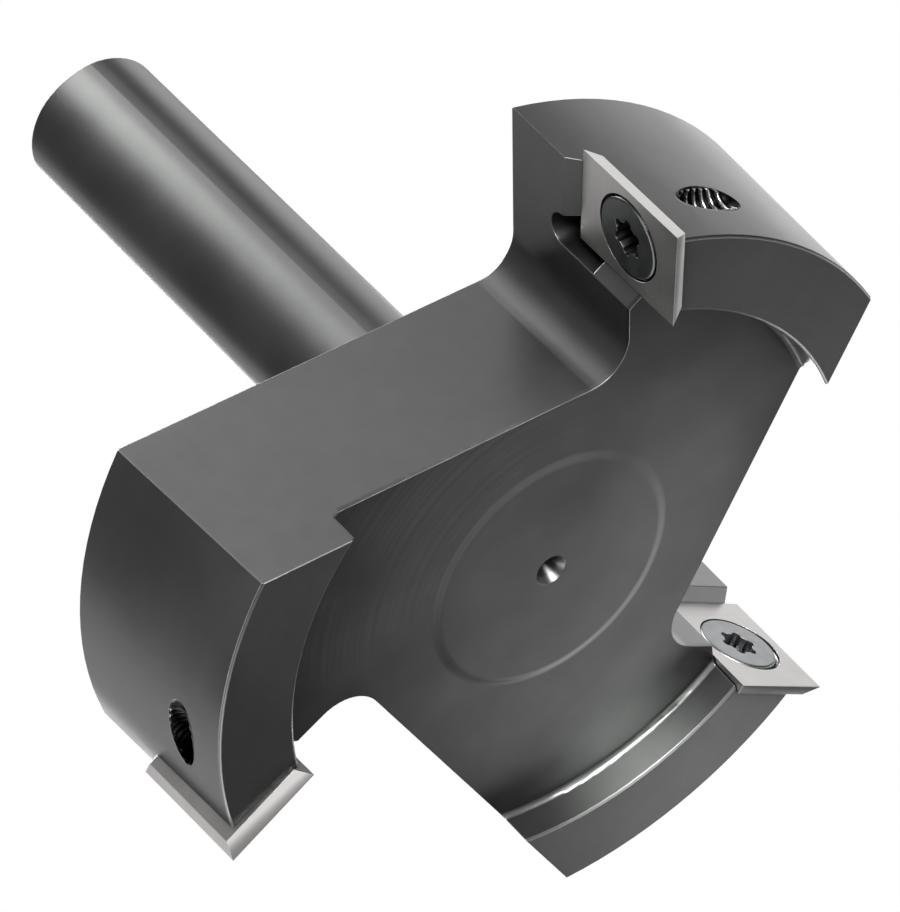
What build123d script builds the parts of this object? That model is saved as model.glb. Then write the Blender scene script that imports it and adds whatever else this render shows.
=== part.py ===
"""Fly cutter for surfacing: a one-piece steel body with three wings and a plain shank.

Each wing carries one rectangular insert, held in its pocket by one countersunk screw.

Frame: Z is the axis of rotation and points from the cutting end to the shank.
The origin is on the axis, in the cutting plane that the lowest insert corners sweep.
Wing 1 has its rake face along +X. Seen from the shank the cutter turns clockwise.
All sizes are in millimetres and all angles in degrees.
"""
from build123d import *
import math
import os

# Turned body
shank_diameter = 12.7
overall_length = 72.3
shank_end_chamfer = 0.3
shank_root_fillet = 1.5
wing_count = 3
band_height = 1.25
head_height = 18.6
insert_overhang = 1.3
rim_taper = 2.8
rim_lower_edge_break = 0.18
rim_upper_edge_break = 0.1

# Recess in the cutting end, with its raised boss and centre-drill mark
band_width = 6.7
recess_depth = 3.2
recess_fillet = 0.45
recess_edge_break = 0.2
boss_diameter = 21.0
boss_rise = 0.2
boss_slope_width = 0.6
boss_edge_fillet = 1.0
centre_mark_diameter = 2.8
centre_mark_angle = 60.0
centre_pilot_diameter = 1.0
centre_pilot_depth = 1.4

# Gullet in front of each wing: two flat faces at a right angle
rake_offset = 7.5
gullet_floor_offset = 16.8
gullet_fillet = 3.5

# Insert
cutting_diameter = 68.0
insert_width = 9.0
insert_height = 12.0
insert_thickness = 1.3
insert_bevel_angle = 30.0
insert_tilt = 2.1
insert_below_rake = 1.05

# Pocket
pocket_wall_angle = 35.0
pocket_clearance = 0.05
relief_radius = 1.5
relief_length = 4.0
relief_inset = 0.6
relief_above_insert = 0.9
relief_below_floor = 0.8

# Screw, with its seats in the insert and the pocket floor
screw_shank_diameter = 3.2
screw_length = 4.0
screw_tip_chamfer = 0.4
screw_pull = 0.15
hole_clearance = 0.05
countersink_diameter = 7.3
countersink_land = 0.3
countersink_angle = 90.0
seat_clearance = 0.02
head_above_insert = 0.04
head_clearance = 0.05
head_edge_fillet = 0.25
socket_diameter = 3.4
socket_core_diameter = 2.6
socket_lobe_radius = 0.42
socket_lobe_count = 6
socket_depth = 1.5

# Values that follow from the sizes above
shank_radius = shank_diameter / 2
head_top = band_height + head_height
recess_floor = band_height + recess_depth
boss_face = recess_floor - boss_rise
cutting_radius = cutting_diameter / 2
rim_radius = cutting_radius - insert_overhang
well_beyond_rim = cutting_diameter
rake_to_insert = rake_offset + insert_below_rake
outer_corner_x = math.sqrt(cutting_radius**2 - rake_to_insert**2)
tilt = math.radians(insert_tilt)
bevel_inset = insert_thickness * math.tan(math.radians(insert_bevel_angle))
countersink_slope = math.tan(math.radians(countersink_angle / 2))
wing_step = 360 / wing_count

# The screw stands off towards the pocket's inner corner, so it pulls the insert home
screw_place = Pos(-screw_pull * math.sqrt(0.5), screw_pull * math.sqrt(0.5))

# Lies in the front face of insert 1: x outwards, y to the shank, z out of the face
insert_plane = Plane(
    origin=(
        outer_corner_x - insert_width / 2 * math.cos(tilt) + insert_height / 2 * math.sin(tilt),
        rake_to_insert,
        insert_width / 2 * math.sin(tilt) + insert_height / 2 * math.cos(tilt),
    ),
    x_dir=(math.cos(tilt), 0, -math.sin(tilt)),
    z_dir=(0, -1, 0),
)


def corner_at(section, radius, height):
    """The corner of a turned section at this radius and height."""
    return section.vertices().sort_by_distance((radius, 0, height))[0]


def turned_blank():
    """Head, rim, recess, boss, centre-drill mark and shank, turned about Z."""
    rim_top_radius = rim_radius + head_height * math.tan(math.radians(rim_taper))
    recess_radius = rim_radius - band_width
    boss_radius = boss_diameter / 2
    mark_radius = centre_mark_diameter / 2
    pilot_radius = centre_pilot_diameter / 2
    mark_slope = math.tan(math.radians(centre_mark_angle / 2))
    pilot_start = boss_face + (mark_radius - pilot_radius) / mark_slope
    pilot_end = pilot_start + centre_pilot_depth
    outline = Polyline(
        (0, pilot_end),
        (pilot_radius, pilot_end),
        (pilot_radius, pilot_start),
        (mark_radius, boss_face),
        (boss_radius, boss_face),
        (boss_radius + boss_slope_width, recess_floor),
        (recess_radius, recess_floor),
        (recess_radius, band_height),
        (rim_radius, band_height),
        (rim_top_radius, head_top),
        (shank_radius, head_top),
        (shank_radius, overall_length),
        (0, overall_length),
        close=True,
    )
    section = make_face(Plane.XZ * outline)
    for radius, height, size in (
        (boss_radius, boss_face, boss_edge_fillet),
        (boss_radius + boss_slope_width, recess_floor, boss_edge_fillet),
        (recess_radius, recess_floor, recess_fillet),
        (shank_radius, head_top, shank_root_fillet),
    ):
        section = fillet(corner_at(section, radius, height), size)
    for radius, height, size in (
        (recess_radius, band_height, recess_edge_break),
        (rim_radius, band_height, rim_lower_edge_break),
        (rim_top_radius, head_top, rim_upper_edge_break),
        (shank_radius, overall_length, shank_end_chamfer),
    ):
        section = chamfer(corner_at(section, radius, height), size)
    return revolve(section, axis=Axis.Z)


def gullet():
    """The space in front of wing 1, cut through the whole height of the head."""
    space = Pos(gullet_floor_offset, rake_offset) * Rectangle(
        well_beyond_rim, well_beyond_rim, align=(Align.MIN, Align.MAX)
    )
    inner_corner = space.vertices().sort_by_distance((gullet_floor_offset, rake_offset, 0))[0]
    space = fillet(inner_corner, gullet_fillet)
    return extrude(space, overall_length)


def block_from_sections(lower, upper):
    """A solid with flat sides between two rectangles, each given as x range, y range and z."""
    sections = []
    for left, right, bottom, top, level in (lower, upper):
        rectangle = Rectangle(right - left, top - bottom, align=(Align.MIN, Align.MIN))
        sections.append(Pos(left, bottom, level) * rectangle)
    return loft(sections, ruled=True)


def pocket():
    """Room for the insert, open outwards and downwards, in the insert's own plane."""
    seat_x = insert_width / 2 - bevel_inset + pocket_clearance
    seat_y = insert_height / 2 - bevel_inset + pocket_clearance
    depth = 2 * insert_below_rake + insert_thickness
    spread = depth * math.tan(math.radians(pocket_wall_angle))
    floor = (-seat_x, insert_width, -insert_height, seat_y, -insert_thickness)
    mouth_level = depth - insert_thickness
    mouth = (-seat_x - spread, insert_width, -insert_height, seat_y + spread, mouth_level)
    return block_from_sections(floor, mouth)


def corner_relief():
    """Milled slot, round at its upper end, that clears the upper inner corner of the insert."""
    depth = 2 * insert_below_rake + insert_thickness + relief_below_floor
    straight = Rectangle(2 * relief_radius, relief_length, align=(Align.CENTER, Align.MAX))
    slot = straight + Circle(relief_radius)
    x = relief_inset - insert_width / 2
    y = insert_height / 2 + relief_above_insert
    return extrude(Pos(x, y, -insert_thickness - relief_below_floor) * slot, depth)


def cone_between(lower_radius, lower_level, upper_radius, upper_level):
    """A cone about the screw axis between two levels of the insert's plane."""
    return Pos(0, 0, lower_level) * Cone(
        lower_radius,
        upper_radius,
        upper_level - lower_level,
        align=(Align.CENTER, Align.CENTER, Align.MIN),
    )


def countersink_radius_at(level):
    """Radius of the insert's countersink at a level below its short straight mouth."""
    return countersink_diameter / 2 + (level + countersink_land) * countersink_slope


def screw_hole():
    """Tapped hole through the wing, with a mouth that clears the screw's cone."""
    hole_radius = screw_shank_diameter / 2 + hole_clearance
    hole = Cylinder(hole_radius, well_beyond_rim, align=(Align.CENTER, Align.CENTER, Align.MAX))
    mouth_radius = countersink_radius_at(-insert_thickness) + hole_clearance
    mouth_depth = (mouth_radius - hole_radius) / countersink_slope
    mouth = cone_between(
        hole_radius, -insert_thickness - mouth_depth, mouth_radius, -insert_thickness
    )
    return hole + mouth


def insert_blank():
    """Bevelled insert with its countersunk hole, in its own plane."""
    half_x = insert_width / 2
    half_y = insert_height / 2
    back_x = half_x - bevel_inset
    back_y = half_y - bevel_inset
    blank = block_from_sections(
        (-back_x, back_x, -back_y, back_y, -insert_thickness),
        (-half_x, half_x, -half_y, half_y, 0),
    )
    below = -2 * insert_thickness
    mouth_radius = countersink_diameter / 2
    cone = cone_between(countersink_radius_at(below), below, mouth_radius, -countersink_land)
    mouth = Pos(0, 0, -countersink_land) * Cylinder(
        mouth_radius, insert_thickness, align=(Align.CENTER, Align.CENTER, Align.MIN)
    )
    return blank - cone - mouth


def socket():
    """Six-lobe socket that the key goes into."""
    outline = Circle(socket_core_diameter / 2)
    lobe_offset = socket_diameter / 2 - socket_lobe_radius
    for place in PolarLocations(lobe_offset, socket_lobe_count):
        outline += place * Circle(socket_lobe_radius)
    return extrude(Pos(0, 0, head_above_insert) * outline, -socket_depth)


def insert_screw():
    """Countersunk screw, in the insert's plane, turned about its own axis."""
    shank = screw_shank_diameter / 2
    top = head_above_insert
    head_radius = countersink_diameter / 2 - screw_pull - head_clearance
    cone_start = -countersink_land - (head_clearance - seat_clearance) / countersink_slope
    cone_end = cone_start - (head_radius - shank) / countersink_slope
    tip = top - screw_length
    outline = Polyline(
        (0, top),
        (head_radius, top),
        (head_radius, cone_start),
        (shank, cone_end),
        (shank, tip + screw_tip_chamfer),
        (shank - screw_tip_chamfer, tip),
        (0, tip),
        close=True,
    )
    section = make_face(Plane.XZ * outline)
    section = fillet(corner_at(section, head_radius, top), head_edge_fillet)
    return revolve(section, axis=Axis.Z) - socket()


def on_each_wing(shape):
    """Copies of a shape, given on wing 1, for every wing in order."""
    return [Rot(0, 0, -wing_step * wing) * shape for wing in range(wing_count)]


def cutter_body():
    """The blank with a gullet, a pocket, a relief and a screw hole for each wing."""
    body = turned_blank()
    pocket_cuts = (pocket(), corner_relief(), screw_place * screw_hole())
    for cut in (gullet(), *(insert_plane * cut for cut in pocket_cuts)):
        for space in on_each_wing(cut):
            body -= space
    return body


def write_parts():
    """Write one STEP file for each piece."""
    os.makedirs("parts", exist_ok=True)
    export_step(cutter_body(), "parts/cutter_body.step")
    pieces = {"insert": insert_blank(), "insert_screw": screw_place * insert_screw()}
    for name, piece in pieces.items():
        for number, placed in enumerate(on_each_wing(insert_plane * piece), start=1):
            export_step(placed, f"parts/{name}_{number}.step")


write_parts()
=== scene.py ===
"""Looks and stage for a fly cutter: its steel body, carbide inserts, screws and cut threads.

The sizes are in metres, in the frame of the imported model: +Z runs from the cutting end to the shank.
"""

import math

import bmesh
import bpy
from mathutils import Matrix, Quaternion, Vector


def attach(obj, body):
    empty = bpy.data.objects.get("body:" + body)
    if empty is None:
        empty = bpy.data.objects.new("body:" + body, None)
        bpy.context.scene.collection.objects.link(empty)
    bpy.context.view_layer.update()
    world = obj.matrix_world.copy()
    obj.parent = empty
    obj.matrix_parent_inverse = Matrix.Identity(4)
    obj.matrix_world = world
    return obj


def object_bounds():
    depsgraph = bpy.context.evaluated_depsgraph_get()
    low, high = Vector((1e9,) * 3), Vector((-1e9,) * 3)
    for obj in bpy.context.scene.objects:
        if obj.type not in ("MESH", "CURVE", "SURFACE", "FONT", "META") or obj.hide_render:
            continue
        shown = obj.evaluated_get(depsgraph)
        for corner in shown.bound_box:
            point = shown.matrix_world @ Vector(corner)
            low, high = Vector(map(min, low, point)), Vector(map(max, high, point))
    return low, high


bl_info = {
    "name": "Fly cutter",
    "version": (1, 0, 0),
    "blender": (4, 5, 0),
    "location": "View3D > Sidebar > Fly cutter",
    "description": "Finishes, cut threads and studio for a fly cutter with three screwed-on inserts",
    "category": "Object",
}

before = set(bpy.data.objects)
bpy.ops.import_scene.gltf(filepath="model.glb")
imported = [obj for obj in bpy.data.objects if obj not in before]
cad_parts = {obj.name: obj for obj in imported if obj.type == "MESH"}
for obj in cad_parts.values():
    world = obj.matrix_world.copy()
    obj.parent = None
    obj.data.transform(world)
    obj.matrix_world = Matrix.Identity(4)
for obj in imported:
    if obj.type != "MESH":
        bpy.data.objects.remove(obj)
CAD_LOW, CAD_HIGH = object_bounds()
MM = 0.001
WING_COUNT = 3

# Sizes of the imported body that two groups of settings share, in millimetres and degrees
BAND_HEIGHT = 1.25
RIM_TAPER = 2.8

# Thread mesh: points round the hole, rows to a turn, and how near points are joined
THREAD_SIDES = 48
THREAD_ROWS = 8
MERGE_DISTANCE = 0.0005 * MM
# Height of the sharp ridge that each flat crest is cut from, in thread depths
THREAD_CREST = 1.1
# How much of the painted highlight on the crests the threads of wings 1, 2 and 3 keep: the thread of wing 2
# stays almost black
THREAD_CREST_LIGHT = (1.0, 0.07, 1.0)
# Layer of the thread mesh that holds how far each point stands above the groove, from 0 to 1, times the share
# of painted highlight that its wing keeps
RIDGE = "ridge"

# How far from its own height or radius a point still belongs to a surface
FLOOR_MARGIN = 0.4 * MM
WALL_MARGIN = 0.5 * MM
WALL_HALF_HEIGHT = 1.55 * MM
BAND_MARGIN = 0.1 * MM
# Way across the recess, from wing 3, where painted light makes it lighter, to the gullet of wing 1, where it
# gets none
LIT_TO_SHADED_WAY = (0.79, -0.61, 0.0)
# Where that way is fully lit and fully unlit by the painted light, measured from the axis
LIT_END = -24 * MM
SHADED_END = 16 * MM
# Way that the rake face of wing 3 looks
WING_3_FACING = (math.cos(math.radians(30)), math.sin(math.radians(30)), 0.0)
# Depths that take in that face and its pocket, as a middle and a reach from it
WING_3_DEPTHS = (-9.8 * MM, 2.6 * MM)
# Most values of a noise pattern lie between these two
NOISE_LOW = 0.3
NOISE_HIGH = 0.7
# Rays for each softened edge and each shaded corner
EDGE_RAYS = 8


def srgb(hex_colour):
    """Linear RGBA for an sRGB hex colour such as #6f6f6d."""
    channels = [int(hex_colour[i:i + 2], 16) / 255 for i in (1, 3, 5)]
    linear = [c / 12.92 if c <= 0.04045 else ((c + 0.055) / 1.055) ** 2.4 for c in channels]
    return (*linear, 1.0)


def colour_property(name, description, hex_colour):
    """A colour that the user can change, given as sRGB hex."""
    return bpy.props.FloatVectorProperty(
        name=name, description=description, subtype="COLOR", size=4,
        min=0.0, max=1.0, default=srgb(hex_colour),
    )


def length_property(name, description, millimetres):
    """A length that the user can change, given in millimetres and kept in metres."""
    return bpy.props.FloatProperty(
        name=name, description=description, default=millimetres * MM, unit="LENGTH", precision=5,
    )


def angle_property(name, description, degrees):
    """An angle that the user can change, given in degrees and kept in radians."""
    return bpy.props.FloatProperty(
        name=name, description=description, default=math.radians(degrees), unit="ROTATION",
    )


def factor_property(name, description, value):
    """A share that the user can change."""
    return bpy.props.FloatProperty(
        name=name, description=description, default=value, min=0.0, subtype="FACTOR",
    )


class CutterFinishes(bpy.types.PropertyGroup):
    """Colours, roughness and grain of the cutter's surfaces."""

    steel_colour: colour_property("Steel", "Blasted body steel", "#5e5f5e")
    # Rubbed steel on edges and on the boss's edge, where it also stands for a painted highlight
    bare_and_highlight_colour: colour_property("Bare steel", "Steel where an edge is rubbed bright", "#a2a3a1")
    steel_roughness: factor_property("Steel roughness", "Roughness of the blasted body", 0.36)
    shank_roughness: factor_property("Shank roughness", "Roughness of the ground shank", 0.34)
    # The next four are painted light and shade on the recess: lighter towards wing 3, darker along the wall
    # and close to wing 3
    floor_painted_light: factor_property("Floor gain", "How much lighter the clean side of the recess floor is", 0.85)
    wall_painted_light: factor_property("Wall gain", "How much lighter the clean side of the recess wall is", 1.15)
    wall_painted_shade: factor_property("Wall stain", "How much darker the floor is along the recess wall", 0.85)
    far_painted_shade: factor_property("Far stain", "How much darker the floor is close to wing 3", 0.38)
    band_gain: factor_property("Band gain", "How much lighter the twice-turned bands are", 1.6)
    rim_gain: factor_property("Rim gain", "How much lighter the turned rims are", 0.2)
    shank_gain: factor_property("Shank gain", "How much lighter the ground shank is", 0.3)
    # A painted highlight on the rake face of wing 3 and what faces the same way in its pocket
    wing_3_highlight: factor_property("Scoured gain", "How much lighter the scoured rake face of wing 3 is", 1.0)
    cloud_width: length_property("Clouds", "Width of the soft cloudy patches", 11.0)
    mottle_width: length_property("Mottle", "Width of the small spots", 1.7)
    blast_grain: length_property("Blast grain", "Width of one dent left by the grit, drawn coarse", 0.25)
    # The bright line along an edge is rubbed steel and a painted highlight together
    bright_edge_width: length_property("Edge wear", "Width of the bright line along a rubbed edge", 0.12)
    turning_pitch: length_property("Turning marks", "Distance between two rings left by the lathe tool", 0.5)
    grinding_pitch: length_property("Grinding lines", "Distance between grinding lines, drawn coarse", 0.3)
    floor_reach: length_property("Floor reach", "Radius that the recess floor stays within", 25.5)
    floor_height: length_property("Floor height", "From the cutting plane to the recess floor", 4.45)
    wall_radius: length_property("Wall radius", "From the axis to the recess wall", 26.0)
    wall_middle: length_property("Wall middle", "From the cutting plane to the recess wall's middle", 2.9)
    boss_radius: length_property("Boss radius", "From the axis to the rubbed edge of the boss", 10.8)
    # The bright ring on the boss is rubbed steel and a painted highlight together
    boss_ring_width: length_property("Boss wear", "Width of the rubbed edge of the boss", 0.9)
    band_height: length_property("Band height", "From the cutting plane to the bands", BAND_HEIGHT)
    rim_reach: length_property("Rim reach", "Radius in the cutting plane that only the rims pass", 32.5)
    rim_taper: angle_property("Rim taper", "Angle between the rims and the axis", RIM_TAPER)
    shank_reach: length_property("Shank reach", "Radius that only the shank stays within above the head", 6.5)
    head_top: length_property("Head top", "From the cutting plane to the top of the head", 19.85)
    carbide_colour: colour_property("Carbide", "Ground carbide of the inserts", "#c5c3c2")
    carbide_roughness: factor_property("Carbide roughness", "Roughness of the ground faces", 0.34)
    carbide_edge: length_property("Carbide edge", "Rounding of the ground edges", 0.05)
    polish_width: length_property("Polish", "Width of the patches of uneven polish", 3.5)
    screw_colour: colour_property("Screw", "Blackened steel of the screws", "#696a6b")
    screw_roughness: factor_property("Screw roughness", "Roughness of the blackened screws", 0.35)
    # A painted highlight that makes screw 3 lighter all over
    screw_3_highlight: factor_property("Worn screw", "How much lighter the thin skin of screw 3 is", 1.2)
    screw_edge: length_property("Screw edge", "Width of the rubbed edge of the head", 0.06)
    skin_width: length_property("Skin", "Width of the patches in the oxide skin", 1.2)
    thread_colour: colour_property("Thread", "Freshly cut steel of the threads", "#cfcfcd")
    tear_width: length_property("Tears", "Width of the torn spots on the threads", 0.5)


class CutterThreads(bpy.types.PropertyGroup):
    """Sizes of the thread that shows where the screw holes leave the rim."""

    hole_x: length_property("Hole distance", "From the cutter's axis to the hole axis, along X", 28.53)
    hole_z: length_property("Hole height", "From the cutting plane to the hole axis", 6.27)
    hole_radius: length_property("Hole radius", "Radius of the hole through the wing", 1.65)
    root_gap: length_property("Root gap", "Between the hole wall and the grooves of the thread", 0.01)
    thread_depth: length_property("Thread depth", "How far the ridges stand in from the grooves", 0.36)
    pitch: length_property("Pitch", "Distance between two turns", 0.7)
    start: length_property("Start", "Where the free thread starts beyond the screw tip", 12.9)
    end: length_property("End", "Length that surely reaches past the rim", 18.2)
    rim_radius: length_property("Rim radius", "Radius of the rim at the band", 32.7)
    band_height: length_property("Band height", "From the cutting plane to the band", BAND_HEIGHT)
    rim_taper: angle_property("Rim taper", "Angle between the rim and the axis", RIM_TAPER)


class CutterStage(bpy.types.PropertyGroup):
    """Camera, lights and floor."""

    aim: bpy.props.FloatVectorProperty(
        name="Aim", description="Point in the middle of the picture", size=3,
        default=(8.460 * MM, -4.044 * MM, 12.080 * MM), subtype="TRANSLATION", unit="LENGTH", precision=5,
    )
    azimuth: angle_property("Azimuth", "Camera's angle round the axis, from -Y towards +X", 59.296)
    elevation: angle_property("Elevation", "Camera's angle over the cutting plane", -37.378)
    roll: angle_property("Roll", "Turn of the camera about its own line of sight", -45.538)
    distance: length_property("Distance", "From the camera to the aim point", 407.0)
    lens: bpy.props.FloatProperty(
        name="Lens", description="Focal length on the sensor below", default=206.84, unit="CAMERA",
    )
    sensor: bpy.props.FloatProperty(
        name="Sensor", description="Long side of the sensor", default=36.0, unit="CAMERA",
    )
    floor_colour: colour_property("Floor", "Matt white studio floor", "#f2f2f0")
    floor_size: length_property("Floor size", "Width of the square floor", 4000.0)
    world_strength: bpy.props.FloatProperty(
        name="Surround", description="Strength of the white surround on the cutter", default=0.10, min=0.0,
    )


# Distance and width of the soft lights all round, in millimetres
SOFT = (600, 360)
# Name, azimuth from -Y towards +X and elevation in degrees, distance and width, power in watts.
# The rear lights show the side that the photograph's view hides, and the two small ones brighten
# the recess wall and floor at wing 3.
LIGHTS = (
    ("top_light", 90, 78, SOFT, 4.5),
    ("front_light", 85, -26, SOFT, 6.5),
    ("upper_light", 85, 60, SOFT, 1.25),
    ("left_light", -20, -10, SOFT, 1.15),
    ("side_light", 13, 0, SOFT, 1.0),
    ("corner_light", -40, 10, SOFT, 0.38),
    ("gullet_light", 110, 40, SOFT, 0.4),
    ("below_light", 70, -80, SOFT, 0.52),
    ("wall_light", 105, -50, SOFT, 0.4),
    ("back_light", -170, -45, SOFT, 0.42),
    ("right_light", -145, 24, SOFT, 0.44),
    ("rake_light", 180, 35, SOFT, 0.19),
    ("rim_light", 162, 30, SOFT, 0.15),
    ("high_light", -165, 47, SOFT, 0.22),
    ("far_light", -60, 29, SOFT, 0.19),
    ("shank_light", -80, 55, SOFT, 0.17),
    ("rear_top_light", -130, 70, SOFT, 3.0),
    ("rear_high_light", -110, 35, SOFT, 2.0),
    ("rear_side_light", -90, 15, SOFT, 1.5),
    ("rear_left_light", -75, -5, SOFT, 1.0),
    ("rear_right_light", -155, -10, SOFT, 0.45),
    ("rear_low_light", -50, -25, SOFT, 0.5),
    ("low_light", -117, -27, (130, 36), 0.0037),
    ("floor_light", -130, -28, (187, 60), 0.0064),
)


def add_node(tree, kind, inputs=None, **settings):
    """Adds a node. An input is a value, or a node or socket whose output is linked in."""
    node = tree.nodes.new("ShaderNode" + kind)
    for name, value in settings.items():
        setattr(node, name, value)
    for name, value in (inputs or {}).items():
        if isinstance(name, int):
            socket = node.inputs[name]
        else:
            socket = next(one for one in node.inputs if one.enabled and one.name == name)
        if isinstance(value, bpy.types.Node):
            value = next(one for one in value.outputs if one.enabled)
        if isinstance(value, bpy.types.NodeSocket):
            tree.links.new(value, socket)
        else:
            socket.default_value = value
    return node


def new_material(name):
    """An empty node material with its node tree."""
    material = bpy.data.materials.new(name)
    material.use_nodes = True
    material.node_tree.nodes.clear()
    return material, material.node_tree


def place_on_cutter(tree):
    """Position on the cutter, in metres."""
    return add_node(tree, "TexCoord").outputs["Object"]


def height_over_cut(tree, place):
    """Height over the cutting plane."""
    return add_node(tree, "SeparateXYZ", {"Vector": place}).outputs["Z"]


def distance_from_axis(tree, place):
    """Distance from the cutter's axis."""
    level = add_node(tree, "VectorMath", {0: place, 1: (1.0, 1.0, 0.0)}, operation="MULTIPLY")
    return add_node(tree, "VectorMath", {0: level}, operation="LENGTH")


def beside_insert_3(tree, place):
    """1 within the depths of wing 3's rake face and pocket, and 0 elsewhere."""
    middle, reach = WING_3_DEPTHS
    depth = add_node(tree, "VectorMath", {0: place, 1: WING_3_FACING}, operation="DOT_PRODUCT")
    return add_node(tree, "Math", {0: depth, 1: middle, 2: reach}, operation="COMPARE")


def spread(noise, low, high):
    """Inputs that spread a noise pattern over the values from low to high."""
    return {"Value": noise, "From Min": NOISE_LOW, "From Max": NOISE_HIGH, "To Min": low, "To Max": high}


# The edge share is used for rubbed edges and for a painted highlight along them
def worn_and_highlit_edges(tree, width):
    """Normal with softened edges, and how much each point lies on an edge, from 0 to 1.

    The two cosines stand for a turn of about 10 degrees, where an edge starts to show, and of
    about 35 degrees, where it is at its brightest.
    """
    softened = add_node(tree, "Bevel", {"Radius": width}, samples=EDGE_RAYS)
    flat = add_node(tree, "NewGeometry").outputs["True Normal"]
    turn = add_node(tree, "VectorMath", {0: softened, 1: flat}, operation="DOT_PRODUCT")
    edge = add_node(tree, "MapRange", {"Value": turn, "From Min": 0.985, "From Max": 0.82})
    return softened, edge


def painted_corner_shade(tree, gap, left):
    """Painted shade in corners, as a share of the colour that is kept: 1 in the open, down to what is left
    deep in a corner.
    """
    open_air = add_node(tree, "AmbientOcclusion", {"Distance": gap}, samples=EDGE_RAYS).outputs["AO"]
    return add_node(tree, "MapRange", {
        "Value": open_air, "From Min": 0.25, "From Max": 0.75, "To Min": left, "To Max": 1.0,
    })


def bright_ring(tree, radius, middle, width):
    """1 on a circle round the axis, fading out to 0 on both sides."""
    off = add_node(tree, "Math", {0: radius, 1: middle}, operation="SUBTRACT")
    far = add_node(tree, "Math", {0: off}, operation="ABSOLUTE")
    return add_node(tree, "MapRange", {
        "Value": far, "From Min": 0.2 * width, "From Max": 0.6 * width, "To Min": 1.0, "To Max": 0.0,
    })


def uneven_rings(tree, along, pitch):
    """Uneven parallel lines from 0 to 1, with this distance in metres between them."""
    count = add_node(tree, "Math", {0: along, 1: pitch}, operation="DIVIDE")
    return add_node(tree, "TexNoise", {"W": count, "Scale": 1.0, "Detail": 2.0}, noise_dimensions="1D")


def bare_metal(tree, colour, roughness, normal):
    """Metal shader on the material's output."""
    shader = add_node(tree, "BsdfPrincipled", {
        "Base Color": colour, "Metallic": 1.0, "Roughness": roughness, "Normal": normal,
    })
    add_node(tree, "OutputMaterial", {"Surface": shader})


def steel_regions(tree, finish, radius, height):
    """Where each kind of surface lies on the body, as 0 or 1.

    The rims are found by their foot, the radius that their slope leads down to in the cutting plane.
    """
    level = add_node(tree, "Math", {0: height, 1: finish.floor_height, 2: FLOOR_MARGIN}, operation="COMPARE")
    inside = add_node(tree, "Math", {0: radius, 1: finish.floor_reach}, operation="LESS_THAN")
    beside = add_node(tree, "Math", {0: radius, 1: finish.wall_radius, 2: WALL_MARGIN}, operation="COMPARE")
    between = add_node(tree, "Math", {
        0: height, 1: finish.wall_middle, 2: WALL_HALF_HEIGHT,
    }, operation="COMPARE")
    band = add_node(tree, "Math", {0: height, 1: finish.band_height, 2: BAND_MARGIN}, operation="COMPARE")
    slope = -math.tan(finish.rim_taper)
    foot = add_node(tree, "Math", {0: height, 1: slope, 2: radius}, operation="MULTIPLY_ADD")
    above = add_node(tree, "Math", {0: height, 1: finish.head_top}, operation="GREATER_THAN")
    slim = add_node(tree, "Math", {0: radius, 1: finish.shank_reach}, operation="LESS_THAN")
    return {
        "floor": add_node(tree, "Math", {0: level, 1: inside}, operation="MULTIPLY"),
        "wall": add_node(tree, "Math", {0: beside, 1: between}, operation="MULTIPLY"),
        "band": band,
        "rim": add_node(tree, "Math", {0: foot, 1: finish.rim_reach}, operation="GREATER_THAN"),
        "shank": add_node(tree, "Math", {0: above, 1: slim}, operation="MULTIPLY"),
    }


def ringed_patches(tree, floor, across, clouds):
    """Patches on the side of the recess floor towards wing 1, where the lathe's rings show through."""
    towards_wing_1 = add_node(tree, "MapRange", {"Value": across, "From Min": 6 * MM, "From Max": 14 * MM})
    patch = add_node(tree, "MapRange", {"Value": clouds, "From Min": 0.48, "From Max": 0.62})
    patch_towards_wing_1 = add_node(tree, "Math", {0: towards_wing_1, 1: patch}, operation="MULTIPLY")
    return add_node(tree, "Math", {0: floor, 1: patch_towards_wing_1}, operation="MULTIPLY")


def steel_pattern(tree, clouds, mottle, lathe, floor, ringed):
    """Small swings about 1 in how light the steel is: clouds, spots, and rings on the floor."""
    cloud_swing = 0.04
    stain_swing = 0.13
    ring_swing = 0.5
    swing = add_node(tree, "MapRange", {"Value": clouds, "From Min": 0.32, "From Max": 0.68, "To Min": -1.0})
    depth = add_node(tree, "Math", {0: floor, 1: stain_swing, 2: cloud_swing}, operation="MULTIPLY_ADD")
    cloudy = add_node(tree, "Math", {0: swing, 1: depth, 2: 1.0}, operation="MULTIPLY_ADD")
    speck = add_node(tree, "MapRange", spread(mottle, 1.03, 0.97))
    speckled = add_node(tree, "Math", {0: cloudy, 1: speck}, operation="MULTIPLY")
    streak = add_node(tree, "Math", {0: lathe, 1: 0.5}, operation="SUBTRACT")
    streaked = add_node(tree, "Math", {0: streak, 1: ringed}, operation="MULTIPLY")
    rings = add_node(tree, "Math", {0: streaked, 1: ring_swing, 2: 1.0}, operation="MULTIPLY_ADD")
    return add_node(tree, "Math", {0: speckled, 1: rings}, operation="MULTIPLY")


def wing_3_highlight_faces(tree, place):
    """1 on the rake face of wing 3 and on what looks the same way in its pocket, where a painted highlight
    goes, and 0 elsewhere.
    """
    normal = add_node(tree, "NewGeometry").outputs["True Normal"]
    facing = add_node(tree, "VectorMath", {0: normal, 1: WING_3_FACING}, operation="DOT_PRODUCT")
    forward = add_node(tree, "Math", {0: facing, 1: 0.5}, operation="GREATER_THAN")
    return add_node(tree, "Math", {0: forward, 1: beside_insert_3(tree, place)}, operation="MULTIPLY")


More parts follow.
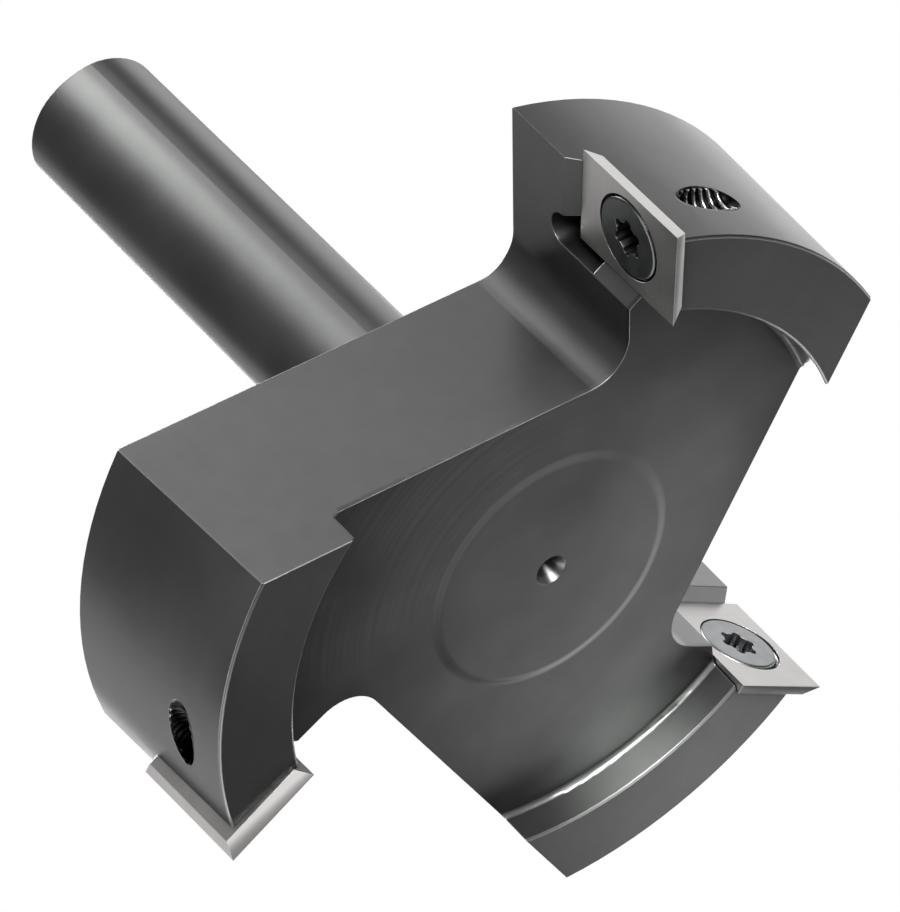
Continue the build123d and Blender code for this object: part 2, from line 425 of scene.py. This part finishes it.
def steel_gain(tree, finish, place, radius, across, region):
    """How light each surface is, with the plain steel as 1: bands, rims and shank lighter as finished,
    painted light and shade on the recess, and a painted highlight on wing 3's rake face.
    """
    wall_fading = 2.5
    shade_everywhere = 0.45
    shade_by_wing_3 = 0.55
    # Painted light on the recess floor and wall, strongest at wing 3
    lit_side = add_node(tree, "MapRange", {
        "Value": across, "From Min": LIT_END, "From Max": SHADED_END, "To Min": 1.0, "To Max": 0.0,
    })
    lit_wall = add_node(tree, "Math", {0: lit_side, 1: wall_fading}, operation="POWER")
    # Painted shade on the floor along the wall, strongest at wing 3
    outer = add_node(tree, "MapRange", {"Value": radius, "From Min": 17 * MM, "From Max": 25 * MM})
    side_shade = add_node(tree, "Math", {
        0: lit_side, 1: shade_by_wing_3, 2: shade_everywhere,
    }, operation="MULTIPLY_ADD")
    shade_by_wall = add_node(tree, "Math", {0: outer, 1: side_shade}, operation="MULTIPLY")
    # Painted shade on the floor close to wing 3
    far = add_node(tree, "MapRange", {"Value": lit_side, "From Min": 0.58, "From Max": 0.76})
    floor = region["floor"]
    shares = (
        (add_node(tree, "Math", {0: floor, 1: lit_side}, operation="MULTIPLY"), finish.floor_painted_light),
        (add_node(tree, "Math", {0: region["wall"], 1: lit_wall}, operation="MULTIPLY"), finish.wall_painted_light),
        (add_node(tree, "Math", {0: floor, 1: shade_by_wall}, operation="MULTIPLY"), -finish.wall_painted_shade),
        (region["band"], finish.band_gain),
        (region["rim"], finish.rim_gain),
        (region["shank"], finish.shank_gain),
        # Painted highlight on wing 3's rake face and pocket
        (wing_3_highlight_faces(tree, place), finish.wing_3_highlight),
        (add_node(tree, "Math", {0: floor, 1: far}, operation="MULTIPLY"), -finish.far_painted_shade),
    )
    gain = 1.0
    for where, share in shares:
        gain = add_node(tree, "Math", {0: where, 1: share, 2: gain}, operation="MULTIPLY_ADD")
    return gain


def rubbed_and_highlit_steel(tree, finish, across, mottle, edge, boss_edge):
    """How bare the steel is, with a painted highlight on it as well: in patches along its edges, and on two
    sides of the boss.
    """
    patchy = add_node(tree, "MapRange", {
        "Value": mottle, "From Min": 0.35, "From Max": 0.6, "To Min": 0.3, "To Max": 0.9,
    })
    bright_edge = add_node(tree, "Math", {0: edge, 1: patchy}, operation="MULTIPLY")
    aside = add_node(tree, "Math", {0: across}, operation="ABSOLUTE")
    two_sides = add_node(tree, "MapRange", {
        "Value": aside, "From Min": 0.2 * finish.boss_radius, "From Max": 0.8 * finish.boss_radius,
        "To Min": 0.1, "To Max": 0.75,
    })
    bright_boss = add_node(tree, "Math", {0: boss_edge, 1: two_sides}, operation="MULTIPLY")
    return add_node(tree, "Math", {0: bright_edge, 1: bright_boss}, operation="MAXIMUM")


def steel_relief(tree, grain, turned, ground, softened, boss_edge):
    """Normal of the body: softened edges, a boss worn flat at its edge, dents and rings."""
    dent_share = 2.0
    ring_share = 0.4
    boss_flattening = (0.0, 0.0, -1.2)
    rings = add_node(tree, "Math", {0: turned, 1: ring_share, 2: ground}, operation="MULTIPLY_ADD")
    relief = add_node(tree, "Math", {0: grain, 1: dent_share, 2: rings}, operation="MULTIPLY_ADD")
    down = add_node(tree, "VectorMath", {0: boss_flattening, "Scale": boss_edge}, operation="SCALE")
    eased = add_node(tree, "VectorMath", {0: softened, 1: down}, operation="ADD")
    worn_flat = add_node(tree, "VectorMath", {0: eased}, operation="NORMALIZE")
    return add_node(tree, "Bump", {
        "Height": relief, "Strength": 0.35, "Distance": 0.005 * MM, "Normal": worn_flat,
    })


def blasted_steel(finish):
    """Alloy steel, turned and milled, then blasted with fine grit and lightly oiled.

    The eye sees an even matt grey with soft cloudy patches and a very fine grain. The bands are
    turned once more after blasting, so they are much lighter, and the rims and the ground shank
    are a little lighter. Painted light makes the recess floor and wall lighter towards wing 3, and
    painted shade darkens the floor along the wall and close to wing 3. On the other side of the
    floor the lathe's rings show in patches. A painted highlight lightens the rake face of wing 3.
    The edges and two sides of the boss are rubbed bright, with a painted highlight on them as
    well, and painted shade darkens the corners. The grit leaves dents of under 0.1 mm and the
    grinding wheel leaves rings of under 0.05 mm on the shank. Both are drawn coarser here, so
    they show.
    """
    material, tree = new_material("blasted_alloy_steel")
    place = place_on_cutter(tree)
    radius = distance_from_axis(tree, place)
    height = height_over_cut(tree, place)
    across = add_node(tree, "VectorMath", {0: place, 1: LIT_TO_SHADED_WAY}, operation="DOT_PRODUCT")
    clouds = add_node(tree, "TexNoise", {"Vector": place, "Scale": 1 / finish.cloud_width, "Detail": 2.0})
    mottle = add_node(tree, "TexNoise", {"Vector": place, "Scale": 1 / finish.mottle_width, "Detail": 4.0})
    grain = add_node(tree, "TexNoise", {"Vector": place, "Scale": 1 / finish.blast_grain, "Detail": 2.0})
    region = steel_regions(tree, finish, radius, height)
    ringed = ringed_patches(tree, region["floor"], across, clouds)
    lathe = uneven_rings(tree, radius, finish.turning_pitch)
    wheel = uneven_rings(tree, height, finish.grinding_pitch)

    pattern = steel_pattern(tree, clouds, mottle, lathe, region["floor"], ringed)
    gain = steel_gain(tree, finish, place, radius, across, region)
    shaded = add_node(tree, "Math", {0: pattern, 1: gain}, operation="MULTIPLY")
    # Painted shade darkens the colour in the body's corners.
    corner_shaded = add_node(tree, "Math", {0: shaded, 1: painted_corner_shade(tree, 2.0 * MM, 0.3)}, operation="MULTIPLY")
    plain = tuple(finish.steel_colour)[:3]
    steel = add_node(tree, "VectorMath", {0: plain, "Scale": corner_shaded}, operation="SCALE")
    softened, edge = worn_and_highlit_edges(tree, finish.bright_edge_width)
    ring = bright_ring(tree, radius, finish.boss_radius, finish.boss_ring_width)
    boss_edge = add_node(tree, "Math", {0: ring, 1: region["floor"]}, operation="MULTIPLY")
    # Rubbed edges and boss, with a painted highlight on them as well
    rubbed_and_highlit = rubbed_and_highlit_steel(tree, finish, across, mottle, edge, boss_edge)
    colour = add_node(
        tree, "Mix", {"Factor": rubbed_and_highlit, "A": steel, "B": tuple(finish.bare_and_highlight_colour)}, data_type="RGBA",
    )

    middling = finish.steel_roughness
    blasted = add_node(tree, "MapRange", spread(clouds, middling - 0.03, middling + 0.03))
    step = finish.shank_roughness - finish.steel_roughness
    rough = add_node(tree, "Math", {0: region["shank"], 1: step, 2: blasted}, operation="MULTIPLY_ADD")
    turned = add_node(tree, "Math", {0: lathe, 1: ringed}, operation="MULTIPLY")
    ground = add_node(tree, "Math", {0: wheel, 1: region["shank"]}, operation="MULTIPLY")
    dents = steel_relief(tree, grain, turned, ground, softened, boss_edge)
    bare_metal(tree, colour, rough, dents)
    return material


def ground_carbide(finish):
    """Cemented carbide, ground on every face with a fine diamond wheel.

    The eye sees a pale satin face with faint straight lines, a slightly uneven polish and
    brighter edges, which are a painted highlight. Painted shade darkens its corners. The real
    lines are under 0.05 mm apart and are drawn coarser, so they show.
    """
    # Strength of the painted highlight along the edges
    edge_shine = 0.25
    material, tree = new_material("ground_cemented_carbide")
    place = place_on_cutter(tree)
    wheel = uneven_rings(tree, height_over_cut(tree, place), finish.grinding_pitch)
    polish = add_node(tree, "TexNoise", {"Vector": place, "Scale": 1 / finish.polish_width, "Detail": 2.0})
    even = add_node(tree, "MapRange", spread(polish, 0.94, 1.05))
    line = add_node(tree, "MapRange", spread(wheel, 1.02, 0.97))
    lined = add_node(tree, "Math", {0: even, 1: line}, operation="MULTIPLY")
    # Painted shade darkens the colour in the corners of the inserts.
    shaded_lines = add_node(tree, "Math", {0: lined, 1: painted_corner_shade(tree, 0.8 * MM, 0.35)}, operation="MULTIPLY")
    softened, edge = worn_and_highlit_edges(tree, finish.carbide_edge)
    # Painted highlight along the ground edges
    edge_highlight = add_node(tree, "Math", {0: edge, 1: edge_shine, 2: 1.0}, operation="MULTIPLY_ADD")
    share = add_node(tree, "Math", {0: shaded_lines, 1: edge_highlight}, operation="MULTIPLY")
    plain = tuple(finish.carbide_colour)[:3]
    colour = add_node(tree, "VectorMath", {0: plain, "Scale": share}, operation="SCALE")
    middling = finish.carbide_roughness
    rough = add_node(tree, "MapRange", spread(polish, middling - 0.02, middling + 0.02))
    scratches = add_node(tree, "Bump", {
        "Height": wheel, "Strength": 0.08, "Distance": 0.01 * MM, "Normal": softened,
    })
    bare_metal(tree, colour, rough, scratches)
    return material


def blackened_steel(finish):
    """Screw steel with a black oxide skin.

    The eye sees a dark, slightly glossy head. The skin is thin, so the edges of the head and of
    the socket are rubbed back to grey steel, with a painted highlight on them as well. A painted
    highlight makes screw 3 a paler grey all over, and painted shade darkens the sockets.
    """
    material, tree = new_material("black_oxide_steel")
    place = place_on_cutter(tree)
    skin = add_node(tree, "TexNoise", {"Vector": place, "Scale": 1 / finish.skin_width, "Detail": 3.0})
    even = add_node(tree, "MapRange", spread(skin, 0.85, 1.15))
    # Painted highlight: screw 3 is made lighter all over
    screw_3_light = add_node(tree, "Math", {
        0: beside_insert_3(tree, place), 1: finish.screw_3_highlight, 2: 1.0,
    }, operation="MULTIPLY_ADD")
    lit_skin = add_node(tree, "Math", {0: even, 1: screw_3_light}, operation="MULTIPLY")
    # Painted shade darkens the colour in the sockets and round the heads.
    corner_shaded = add_node(tree, "Math", {0: lit_skin, 1: painted_corner_shade(tree, 1.2 * MM, 0.04)}, operation="MULTIPLY")
    plain = tuple(finish.screw_colour)[:3]
    screw = add_node(tree, "VectorMath", {0: plain, "Scale": corner_shaded}, operation="SCALE")
    softened, edge = worn_and_highlit_edges(tree, finish.screw_edge)
    # Rubbed edges on head and socket, with a painted highlight on them as well
    patchy = add_node(tree, "MapRange", {
        "Value": skin, "From Min": 0.4, "From Max": 0.6, "To Min": 0.05, "To Max": 0.3,
    })
    rubbed_and_highlit = add_node(tree, "Math", {0: edge, 1: patchy}, operation="MULTIPLY")
    colour = add_node(
        tree, "Mix", {"Factor": rubbed_and_highlit, "A": screw, "B": tuple(finish.bare_and_highlight_colour)}, data_type="RGBA",
    )
    middling = finish.screw_roughness
    rough = add_node(tree, "MapRange", spread(skin, middling - 0.04, middling + 0.04))
    bare_metal(tree, colour, rough, softened)
    return material


def tapped_steel(finish):
    """Steel cut by the tap after blasting, with torn spots: a painted highlight lights its crests and painted
    shade darkens its grooves.
    """
    material, tree = new_material("tapped_steel")
    place = place_on_cutter(tree)
    torn = add_node(tree, "TexNoise", {"Vector": place, "Scale": 1 / finish.tear_width, "Detail": 3.0})
    ridge = add_node(tree, "Attribute", attribute_name=RIDGE).outputs["Fac"]
    # Painted highlight on the crests and painted shade in the grooves
    crest_highlight = add_node(tree, "MapRange", {
        "Value": ridge, "From Min": 0.4, "From Max": 0.9, "To Min": 0.02, "To Max": 1.0,
    })
    bright = add_node(tree, "MapRange", {
        "Value": torn, "From Min": 0.35, "From Max": 0.65, "To Min": 0.45, "To Max": 1.1,
    })
    lined = add_node(tree, "Math", {0: crest_highlight, 1: bright}, operation="MULTIPLY")
    # Painted shade darkens the colour deep in the thread.
    corner_shaded = add_node(tree, "Math", {0: lined, 1: painted_corner_shade(tree, 0.8 * MM, 0.05)}, operation="MULTIPLY")
    plain = tuple(finish.thread_colour)[:3]
    colour = add_node(tree, "VectorMath", {0: plain, "Scale": corner_shaded}, operation="SCALE")
    rough = add_node(tree, "MapRange", spread(torn, 0.25, 0.4))
    softened = add_node(tree, "Bevel", {"Radius": finish.screw_edge}, samples=EDGE_RAYS)
    bare_metal(tree, colour, rough, softened)
    return material


def dress(node_names, material):
    """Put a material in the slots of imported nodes."""
    for name in node_names:
        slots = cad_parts[name].material_slots
        if not slots:
            raise RuntimeError(f"{name} has no material slot")
        for slot in slots:
            slot.material = material


class OBJECT_OT_cutter_body_finish(bpy.types.Operator):
    """Give the cutter body its blasted steel"""

    bl_idname = "object.cutter_body_finish"
    bl_label = "Body finish"

    def execute(self, context):
        dress(["cutter_body"], blasted_steel(context.scene.cutter_finishes))
        return {"FINISHED"}


class OBJECT_OT_cutter_insert_finish(bpy.types.Operator):
    """Give the inserts their ground carbide"""

    bl_idname = "object.cutter_insert_finish"
    bl_label = "Insert finish"

    def execute(self, context):
        names = [f"insert_{wing + 1}" for wing in range(WING_COUNT)]
        dress(names, ground_carbide(context.scene.cutter_finishes))
        return {"FINISHED"}


class OBJECT_OT_cutter_screw_finish(bpy.types.Operator):
    """Give the insert screws their black oxide skin"""

    bl_idname = "object.cutter_screw_finish"
    bl_label = "Screw finish"

    def execute(self, context):
        names = [f"insert_screw_{wing + 1}" for wing in range(WING_COUNT)]
        dress(names, blackened_steel(context.scene.cutter_finishes))
        return {"FINISHED"}


def rim_edge(threads, across, height):
    """How far along the hole of wing 1 the rim lies, at this X and this height."""
    rim = threads.rim_radius + (height - threads.band_height) * math.tan(threads.rim_taper)
    return math.sqrt(rim ** 2 - across ** 2)


def thread_point(threads, turn, along):
    """Point on the thread of wing 1, cut off at the rim, and its height above the groove, 0 to 1.

    The turn goes from 0 to 1 round the hole.
    """
    def point(radius, distance):
        across = threads.hole_x + radius * math.sin(math.tau * turn)
        height = threads.hole_z + radius * math.cos(math.tau * turn)
        return Vector((across, min(distance, rim_edge(threads, across, height)), height))

    groove = threads.hole_radius - threads.root_gap
    along = min(along, point(groove, threads.end).y)
    phase = (along / threads.pitch - turn) % 1
    ridge = min(1.0, THREAD_CREST * (1 - abs(2 * phase - 1)))
    return point(groove - ridge * threads.thread_depth, along), ridge


def build_thread(threads, crest_light):
    """Mesh of the thread that shows in wing 1's hole, with its lip on the rim.

    Crest light is the share of the painted highlight that its crests keep.
    """
    mesh = bmesh.new()
    ridge_layer = mesh.verts.layers.float.new(RIDGE)
    step = threads.pitch / THREAD_ROWS
    rows = []
    for row in range(math.ceil((threads.end - threads.start) / step)):
        ring = []
        for side in range(THREAD_SIDES):
            place, ridge = thread_point(threads, side / THREAD_SIDES, threads.start + row * step)
            vertex = mesh.verts.new(place)
            vertex[ridge_layer] = ridge * crest_light
            ring.append(vertex)
        rows.append(ring)
    lip = []
    for side in range(THREAD_SIDES):
        angle = math.tau * side / THREAD_SIDES
        across = threads.hole_x + threads.hole_radius * math.sin(angle)
        height = threads.hole_z + threads.hole_radius * math.cos(angle)
        lip.append(mesh.verts.new((across, rim_edge(threads, across, height), height)))
    rows.append(lip)
    for lower, upper in zip(rows, rows[1:]):
        for side in range(THREAD_SIDES):
            after = (side + 1) % THREAD_SIDES
            face = mesh.faces.new((lower[side], upper[side], upper[after], lower[after]))
            face.smooth = True
    bmesh.ops.remove_doubles(mesh, verts=mesh.verts, dist=MERGE_DISTANCE)
    return mesh


class OBJECT_OT_cutter_threads(bpy.types.Operator):
    """Add the tapped thread that shows where each screw hole leaves the rim"""

    bl_idname = "object.cutter_threads"
    bl_label = "Cut threads"

    def execute(self, context):
        material = tapped_steel(context.scene.cutter_finishes)
        for wing, crest_light in enumerate(THREAD_CREST_LIGHT):
            thread = build_thread(context.scene.cutter_threads, crest_light)
            thread.transform(Matrix.Rotation(-math.tau * wing / WING_COUNT, 4, "Z"))
            mesh = bpy.data.meshes.new(f"thread_{wing + 1}")
            thread.to_mesh(mesh)
            thread.free()
            mesh.materials.append(material)
            piece = bpy.data.objects.new(f"thread_{wing + 1}", mesh)
            context.scene.collection.objects.link(piece)
            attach(piece, "root")
        return {"FINISHED"}


def direction(azimuth, elevation):
    """Unit vector from the aim point, for an azimuth from -Y towards +X and an elevation."""
    return Vector((
        math.sin(azimuth) * math.cos(elevation),
        -math.cos(azimuth) * math.cos(elevation),
        math.sin(elevation),
    ))


def make_camera(stage):
    """Camera at the angle of the photograph."""
    camera_data = bpy.data.cameras.new("camera")
    camera_data.sensor_width = stage.sensor
    camera_data.lens = stage.lens
    camera_data.clip_start = 0.01
    camera_data.clip_end = 10.0
    camera = bpy.data.objects.new("camera", camera_data)
    bpy.context.scene.collection.objects.link(camera)
    back = direction(stage.azimuth, stage.elevation)
    camera.location = Vector(stage.aim) + back * stage.distance
    camera.rotation_mode = "QUATERNION"
    level = (-back).to_track_quat("-Z", "Y")
    camera.rotation_quaternion = level @ Quaternion((0, 0, 1), stage.roll)
    bpy.context.scene.camera = camera


def make_lights(stage):
    """Soft round lights round the cutter, each aimed at it."""
    aim = Vector(stage.aim)
    for name, azimuth, elevation, (distance, width), power in LIGHTS:
        light_data = bpy.data.lights.new(name, "AREA")
        light_data.shape = "DISK"
        light_data.size = width * MM
        light_data.energy = power
        light = bpy.data.objects.new(name, light_data)
        light.visible_camera = False
        bpy.context.scene.collection.objects.link(light)
        towards = direction(math.radians(azimuth), math.radians(elevation))
        light.location = aim + towards * distance * MM
        light.rotation_mode = "QUATERNION"
        light.rotation_quaternion = (-towards).to_track_quat("-Z", "Y")


def make_world(stage):
    """White surround: full white behind the cutter, and dimmer where it lights the steel."""
    world = bpy.data.worlds.new("white_studio")
    world.use_nodes = True
    tree = world.node_tree
    tree.nodes.clear()
    seen = add_node(tree, "LightPath").outputs["Is Camera Ray"]
    lit = add_node(tree, "Background", {"Color": (1, 1, 1, 1), "Strength": stage.world_strength})
    plain = add_node(tree, "Background", {"Color": (1, 1, 1, 1), "Strength": 1.0})
    both = add_node(tree, "MixShader", {0: seen, 1: lit, 2: plain})
    add_node(tree, "OutputWorld", {"Surface": both})
    bpy.context.scene.world = world


def floor_paint(stage):
    """Matt white paint that shows from above only, so that the camera can look up at the cutter."""
    material, tree = new_material("matt_white_floor_paint")
    seen = add_node(tree, "LightPath").outputs["Is Camera Ray"]
    below = add_node(tree, "NewGeometry").outputs["Backfacing"]
    above = add_node(tree, "Math", {0: 1.0, 1: below}, operation="SUBTRACT")
    shown = add_node(tree, "Math", {0: seen, 1: above}, operation="MULTIPLY")
    paint = add_node(tree, "BsdfDiffuse", {"Color": tuple(stage.floor_colour)})
    clear = add_node(tree, "BsdfTransparent")
    both = add_node(tree, "MixShader", {0: shown, 1: clear, 2: paint})
    add_node(tree, "OutputMaterial", {"Surface": both})
    return material


def make_floor(stage):
    """Pale floor in the cutting plane, where the cutter stands on its inserts."""
    mesh = bpy.data.meshes.new("floor")
    half = stage.floor_size / 2
    corners = [(-half, -half, 0), (half, -half, 0), (half, half, 0), (-half, half, 0)]
    mesh.from_pydata(corners, [], [(0, 1, 2, 3)])
    floor = bpy.data.objects.new("floor", mesh)
    bpy.context.scene.collection.objects.link(floor)
    floor.location.z = CAD_LOW.z
    mesh.materials.append(floor_paint(stage))


class OBJECT_OT_cutter_stage(bpy.types.Operator):
    """Set up the camera, the lights, the white surround and the floor"""

    bl_idname = "object.cutter_stage"
    bl_label = "Stage"

    def execute(self, context):
        stage = context.scene.cutter_stage
        make_camera(stage)
        make_lights(stage)
        make_world(stage)
        make_floor(stage)
        context.scene.view_settings.view_transform = "Standard"
        return {"FINISHED"}


class VIEW3D_PT_fly_cutter(bpy.types.Panel):
    """Lists the steps in order, with their settings"""

    bl_label = "Fly cutter"
    bl_space_type = "VIEW_3D"
    bl_region_type = "UI"
    bl_category = "Fly cutter"

    def draw(self, context):
        layout = self.layout
        for settings, operators in STEPS.items():
            for operator in operators:
                layout.operator(operator)
            group = getattr(context.scene, settings)
            for name in group.__annotations__:
                layout.prop(group, name)


STEPS = {
    "cutter_finishes": (
        "object.cutter_body_finish", "object.cutter_insert_finish", "object.cutter_screw_finish",
    ),
    "cutter_threads": ("object.cutter_threads",),
    "cutter_stage": ("object.cutter_stage",),
}
SETTINGS = {
    "cutter_finishes": CutterFinishes,
    "cutter_threads": CutterThreads,
    "cutter_stage": CutterStage,
}
CLASSES = (
    CutterFinishes,
    CutterThreads,
    CutterStage,
    OBJECT_OT_cutter_body_finish,
    OBJECT_OT_cutter_insert_finish,
    OBJECT_OT_cutter_screw_finish,
    OBJECT_OT_cutter_threads,
    OBJECT_OT_cutter_stage,
    VIEW3D_PT_fly_cutter,
)


def register():
    """Register the classes and hang the settings on the scene."""
    for cls in CLASSES:
        bpy.utils.register_class(cls)
    for name, group in SETTINGS.items():
        setattr(bpy.types.Scene, name, bpy.props.PointerProperty(type=group))


def unregister():
    """Take the settings off the scene and unregister the classes."""
    for name in SETTINGS:
        delattr(bpy.types.Scene, name)
    for cls in reversed(CLASSES):
        bpy.utils.unregister_class(cls)


def main():
    """Run every step in order."""
    register()
    bpy.ops.object.cutter_body_finish()
    bpy.ops.object.cutter_insert_finish()
    bpy.ops.object.cutter_screw_finish()
    bpy.ops.object.cutter_threads()
    bpy.ops.object.cutter_stage()


if __name__ == "__main__":
    main()
